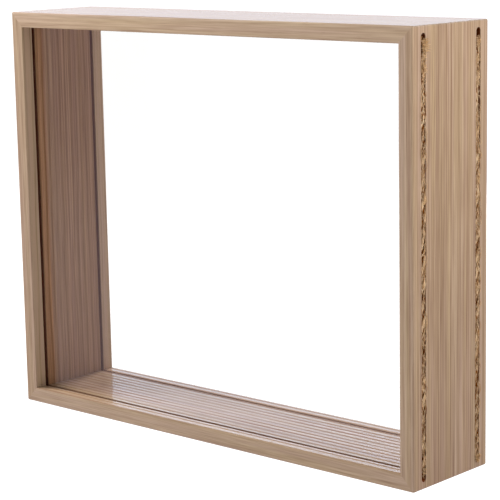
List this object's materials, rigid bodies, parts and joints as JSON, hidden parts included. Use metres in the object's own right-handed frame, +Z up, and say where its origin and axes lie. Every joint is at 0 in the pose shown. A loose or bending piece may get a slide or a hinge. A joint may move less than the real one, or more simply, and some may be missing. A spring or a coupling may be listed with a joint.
{
  "type": "dried flower display box",
  "caption": "Shallow wooden case open front and rear, with a clear pane on each side that slides out through a long side slot closed by jute twine.",
  "frame": {"origin": "middle of the footprint, on the surface that the case stands on", "axes": "+X along the case towards the slotted side, +Y to the rear, so the front faces -Y, +Z up"},
  "size_m": [0.3, 0.065, 0.24],
  "materials": {
    "case_wood": "satin lacquer",
    "spline_wood": "sawn",
    "pane_glass": "clear polished",
    "jute_twine": "hairy natural fibre"
  },
  "bodies": {
    "case": {"top_board": "case_wood", "bottom_board": "case_wood", "left_board": "case_wood", "right_board": "case_wood", "top_left_spline": "spline_wood", "top_right_spline": "spline_wood", "bottom_left_spline": "spline_wood", "bottom_right_spline": "spline_wood"},
    "front_pane": {"front_pane": "pane_glass"},
    "front_twine": {"front_twine": "jute_twine"},
    "rear_pane": {"rear_pane": "pane_glass"},
    "rear_twine": {"rear_twine": "jute_twine"}
  },
  "joints": [
    {"name": "front_pane_slide", "type": "slide", "parent": "case", "child": "front_pane", "axis": [1, 0, 0], "range_m": [0, 0.29]},
    {"name": "front_twine_pull", "type": "slide", "parent": "front_pane", "child": "front_twine", "axis": [1, 0, 0], "range_m": [0, 0.03]},
    {"name": "rear_pane_slide", "type": "slide", "parent": "case", "child": "rear_pane", "axis": [1, 0, 0], "range_m": [0, 0.29]},
    {"name": "rear_twine_pull", "type": "slide", "parent": "rear_pane", "child": "rear_twine", "axis": [1, 0, 0], "range_m": [0, 0.03]}
  ]
}
